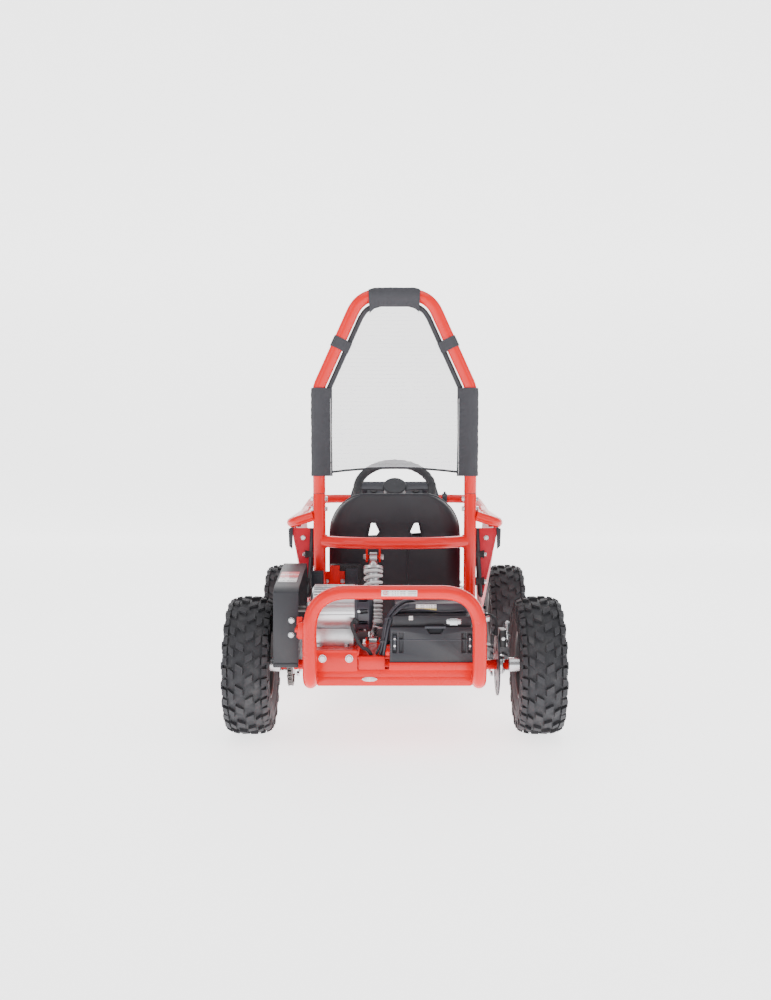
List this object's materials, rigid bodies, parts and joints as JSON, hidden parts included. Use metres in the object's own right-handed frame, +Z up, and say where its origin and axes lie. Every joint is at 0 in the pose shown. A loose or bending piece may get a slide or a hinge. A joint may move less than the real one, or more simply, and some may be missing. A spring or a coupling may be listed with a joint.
{
  "type": "go-kart",
  "caption": "Off-road electric go-kart with a tubular roll frame, bucket seat, sprung rear axle with chain drive, sprung steered front wheels and a net on the roll hoop.",
  "frame": {"origin": "ground level under the middle of the bounding box, on the symmetry plane", "axes": "+Z up, +Y towards the front of the kart, +X towards the driver's right"},
  "size_m": [0.862, 1.3223, 1.18],
  "materials": {
    "frame_red": "gloss",
    "panel_red": "gloss",
    "black_plastic": "satin",
    "black_steel": "satin",
    "zinc": "satin",
    "alloy": "satin",
    "tyre_rubber": "matte",
    "net_fabric": "matte",
    "spring_white": "gloss"
  },
  "bodies": {
    "chassis": {"floor_frame": "frame_red", "floor_pan": "black_steel", "upright_left": "frame_red", "upright_right": "frame_red", "roll_hoop": "frame_red", "net": "net_fabric", "cross_tube": "frame_red", "side_rail_left": "frame_red", "side_rail_right": "frame_red", "dash_bar": "frame_red", "shock_tower": "frame_red", "front_bumper": "frame_red", "seat": "black_plastic", "side_panel_left": "panel_red", "side_panel_right": "panel_red", "dash_panel": "black_plastic", "nose_cowl": "panel_red", "controller": "black_steel", "front_shock_body_left": "black_steel", "front_spring_left": "spring_white", "front_shock_body_right": "black_steel", "front_spring_right": "spring_white"},
    "swing": {"swing_arm": "frame_red", "bearing_block_left": "frame_red", "bearing_block_right": "frame_red", "bumper_hoop": "frame_red", "rear_cross_member": "frame_red", "motor_plate": "frame_red", "battery_case": "black_plastic", "motor": "alloy", "chain_guard": "black_plastic", "chain": "black_steel", "caliper": "black_steel"},
    "rear_wheels": {"rear_axle": "zinc", "brake_disc": "zinc", "rear_rim_left": "black_steel", "rear_rim_right": "black_steel", "rear_tyre_left": "tyre_rubber", "rear_tyre_right": "tyre_rubber"},
    "pinion": {"motor_pinion": "zinc"},
    "brake_arm": {"brake_lever": "zinc"},
    "rear_damper": {"rear_shock_body": "black_steel", "rear_spring": "spring_white"},
    "rear_damper_rod": {"rear_shock_rod": "black_steel"},
    "steering": {"steering_wheel": "black_plastic", "steering_column": "zinc"},
    "throttle": {"throttle_pedal": "black_steel"},
    "brake": {"brake_pedal": "black_steel"},
    "arm_left": {"front_arm_left": "frame_red"},
    "stub_left": {"knuckle_left": "zinc"},
    "wheel_left": {"front_rim_left": "black_steel", "front_tyre_left": "tyre_rubber"},
    "front_damper_rod_left": {"front_shock_rod_left": "black_steel"},
    "track_rod_left": {"tie_rod_left": "zinc"},
    "arm_right": {"front_arm_right": "frame_red"},
    "stub_right": {"knuckle_right": "zinc"},
    "wheel_right": {"front_rim_right": "black_steel", "front_tyre_right": "tyre_rubber"},
    "front_damper_rod_right": {"front_shock_rod_right": "black_steel"},
    "track_rod_right": {"tie_rod_right": "zinc"}
  },
  "joints": [
    {"name": "rear_suspension", "type": "hinge", "parent": "chassis", "child": "swing", "pos_m": [0, -0.215, 0.178], "axis": [-1, 0, 0], "range_deg": [0, 6], "stiffness_Nm_per_rad": 600, "springref_deg": -7.45},
    {"name": "rear_axle_spin", "type": "hinge", "parent": "swing", "child": "rear_wheels", "pos_m": [0, -0.425, 0.1775], "axis": [1, 0, 0], "continuous": true},
    {"name": "pinion_spin", "type": "hinge", "parent": "swing", "child": "pinion", "pos_m": [-0.24, -0.48687, 0.331], "axis": [1, 0, 0], "continuous": true},
    {"name": "rear_damper_swivel", "type": "hinge", "parent": "chassis", "child": "rear_damper", "pos_m": [-0.058, -0.292, 0.447], "axis": [1, 0, 0], "range_deg": [0, 0.6]},
    {"name": "rear_damper_stroke", "type": "slide", "parent": "rear_damper", "child": "rear_damper_rod", "axis": [0, 0.2598, 0.9657], "range_m": [0, 0.0165], "deforming": ["rear_spring"]},
    {"name": "front_suspension_left", "type": "hinge", "parent": "chassis", "child": "arm_left", "pos_m": [-0.13, 0.475, 0.176], "axis": [0, 1, 0], "range_deg": [0, 6], "stiffness_Nm_per_rad": 350, "springref_deg": -9.74},
    {"name": "kingpin_left", "type": "hinge", "parent": "arm_left", "child": "stub_left", "pos_m": [-0.282, 0.475, 0.176], "axis": [0, 0, 1], "range_deg": [-25, 25]},
    {"name": "front_wheel_spin_left", "type": "hinge", "parent": "stub_left", "child": "wheel_left", "pos_m": [-0.372, 0.475, 0.1775], "axis": [1, 0, 0], "continuous": true},
    {"name": "front_damper_stroke_left", "type": "slide", "parent": "chassis", "child": "front_damper_rod_left", "axis": [0.3279, 0, 0.9447], "range_m": [0, 0.0128], "deforming": ["front_spring_left"]},
    {"name": "track_rod_slide_left", "type": "slide", "parent": "arm_left", "child": "track_rod_left", "axis": [1, 0, 0], "range_m": [-0.035, 0.035]},
    {"name": "front_suspension_right", "type": "hinge", "parent": "chassis", "child": "arm_right", "pos_m": [0.13, 0.475, 0.176], "axis": [0, -1, 0], "range_deg": [0, 6], "stiffness_Nm_per_rad": 350, "springref_deg": -9.74},
    {"name": "kingpin_right", "type": "hinge", "parent": "arm_right", "child": "stub_right", "pos_m": [0.282, 0.475, 0.176], "axis": [0, 0, 1], "range_deg": [-25, 25]},
    {"name": "front_wheel_spin_right", "type": "hinge", "parent": "stub_right", "child": "wheel_right", "pos_m": [0.372, 0.475, 0.1775], "axis": [1, 0, 0], "continuous": true},
    {"name": "front_damper_stroke_right", "type": "slide", "parent": "chassis", "child": "front_damper_rod_right", "axis": [-0.3279, 0, 0.9447], "range_m": [0, 0.0128], "deforming": ["front_spring_right"]},
    {"name": "track_rod_slide_right", "type": "slide", "parent": "arm_right", "child": "track_rod_right", "axis": [1, 0, 0], "range_m": [-0.035, 0.035]},
    {"name": "steering_turn", "type": "hinge", "parent": "chassis", "child": "steering", "pos_m": [0, 0.22, 0.622], "axis": [0, -0.6561, 0.7547], "range_deg": [-45, 45]},
    {"name": "throttle_press", "type": "hinge", "parent": "chassis", "child": "throttle", "pos_m": [0.074, 0.52, 0.166], "axis": [-1, 0, 0], "range_deg": [0, 25], "stiffness_Nm_per_rad": 2, "springref_deg": -17.19},
    {"name": "brake_press", "type": "hinge", "parent": "chassis", "child": "brake", "pos_m": [-0.074, 0.52, 0.166], "axis": [-1, 0, 0], "range_deg": [0, 20], "stiffness_Nm_per_rad": 3, "springref_deg": -17.19},
    {"name": "brake_lever_pull", "type": "hinge", "parent": "swing", "child": "brake_arm", "pos_m": [0.2925, -0.436, 0.252], "axis": [-1, 0, 0], "range_deg": [0, 20.5]}
  ],
  "couplings": [
    {"joint": "pinion_spin", "follows": "rear_axle_spin", "ratio": 2.5},
    {"joint": "rear_damper_swivel", "follows": "rear_suspension", "ratio": 0.07575},
    {"joint": "rear_damper_stroke", "follows": "rear_suspension", "m_per_rad": 0.14346},
    {"joint": "kingpin_left", "follows": "steering_turn", "ratio": 0.55556},
    {"joint": "front_damper_stroke_left", "follows": "front_suspension_left", "m_per_rad": 0.11011},
    {"joint": "track_rod_slide_left", "follows": "steering_turn", "m_per_rad": -0.04143},
    {"joint": "kingpin_right", "follows": "steering_turn", "ratio": 0.55556},
    {"joint": "front_damper_stroke_right", "follows": "front_suspension_right", "m_per_rad": 0.11011},
    {"joint": "track_rod_slide_right", "follows": "steering_turn", "m_per_rad": -0.04143},
    {"joint": "brake_lever_pull", "follows": "brake_press", "ratio": 1}
  ]
}
